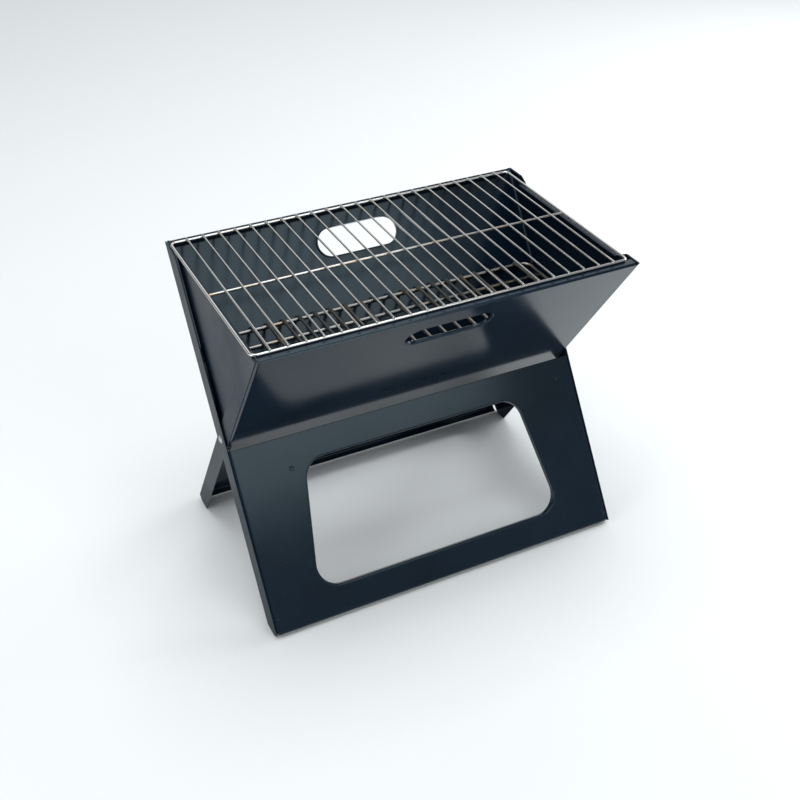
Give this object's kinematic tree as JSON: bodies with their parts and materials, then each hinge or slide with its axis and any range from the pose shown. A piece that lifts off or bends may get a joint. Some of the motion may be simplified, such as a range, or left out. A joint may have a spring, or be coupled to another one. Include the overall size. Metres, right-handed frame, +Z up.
{
  "type": "folding camp grill",
  "caption": "Folding charcoal grill of crossed sheet-metal panels: V-shaped firebox with wire grid and charcoal grate, on windowed legs that fold flat.",
  "frame": {"origin": "on the ground, under the middle of the open grill", "axes": "+X along the width, from the left end plate to the right one; +Y to the rear wall; +Z up"},
  "size_m": [0.4544, 0.2812, 0.3786],
  "materials": {
    "black_enamel": "gloss",
    "bright_steel": "satin",
    "chromed_wire": "gloss"
  },
  "bodies": {
    "rear_panel": {"rear_wall": "black_enamel", "front_leg": "black_enamel", "outer_rail_left": "black_enamel", "outer_rail_right": "black_enamel", "pivot_rivet_left": "bright_steel", "pivot_rivet_right": "bright_steel", "pivot_washer_left": "bright_steel", "pivot_washer_right": "bright_steel"},
    "front_panel": {"front_wall": "black_enamel", "rear_leg": "black_enamel", "inner_rail_left": "black_enamel", "inner_rail_right": "black_enamel"},
    "left_plate": {"end_plate_left": "black_enamel"},
    "right_plate": {"end_plate_right": "black_enamel"},
    "coal_grate": {"coal_grate_frame": "chromed_wire", "coal_grate_bars": "chromed_wire", "coal_grate_rods": "chromed_wire"},
    "cooking_grid": {"grid_frame": "chromed_wire", "grid_bars": "chromed_wire", "grid_cross_bar": "chromed_wire"}
  },
  "joints": [
    {"name": "fold", "type": "hinge", "parent": "rear_panel", "child": "front_panel", "pos_m": [0, 0, 0.19], "axis": [-1, 0, 0], "range_deg": [0, 67]},
    {"name": "left_plate_lift", "type": "slide", "parent": "rear_panel", "child": "left_plate", "axis": [0, 0.4067, 0.9135], "range_m": [0, 0.352]},
    {"name": "right_plate_lift", "type": "slide", "parent": "rear_panel", "child": "right_plate", "axis": [0, 0.4067, 0.9135], "range_m": [0, 0.352]},
    {"name": "coal_grate_lift", "type": "slide", "parent": "rear_panel", "child": "coal_grate", "axis": [0, 0.4067, 0.9135], "range_m": [0, 0.352]},
    {"name": "grid_lift", "type": "slide", "parent": "coal_grate", "child": "cooking_grid", "axis": [0, 0, 1], "range_m": [0, 0.15]}
  ],
  "couplings": [
    {"joint": "left_plate_lift", "follows": "fold", "m_per_rad": 0.3},
    {"joint": "right_plate_lift", "follows": "fold", "m_per_rad": 0.3},
    {"joint": "coal_grate_lift", "follows": "fold", "m_per_rad": 0.3}
  ]
}
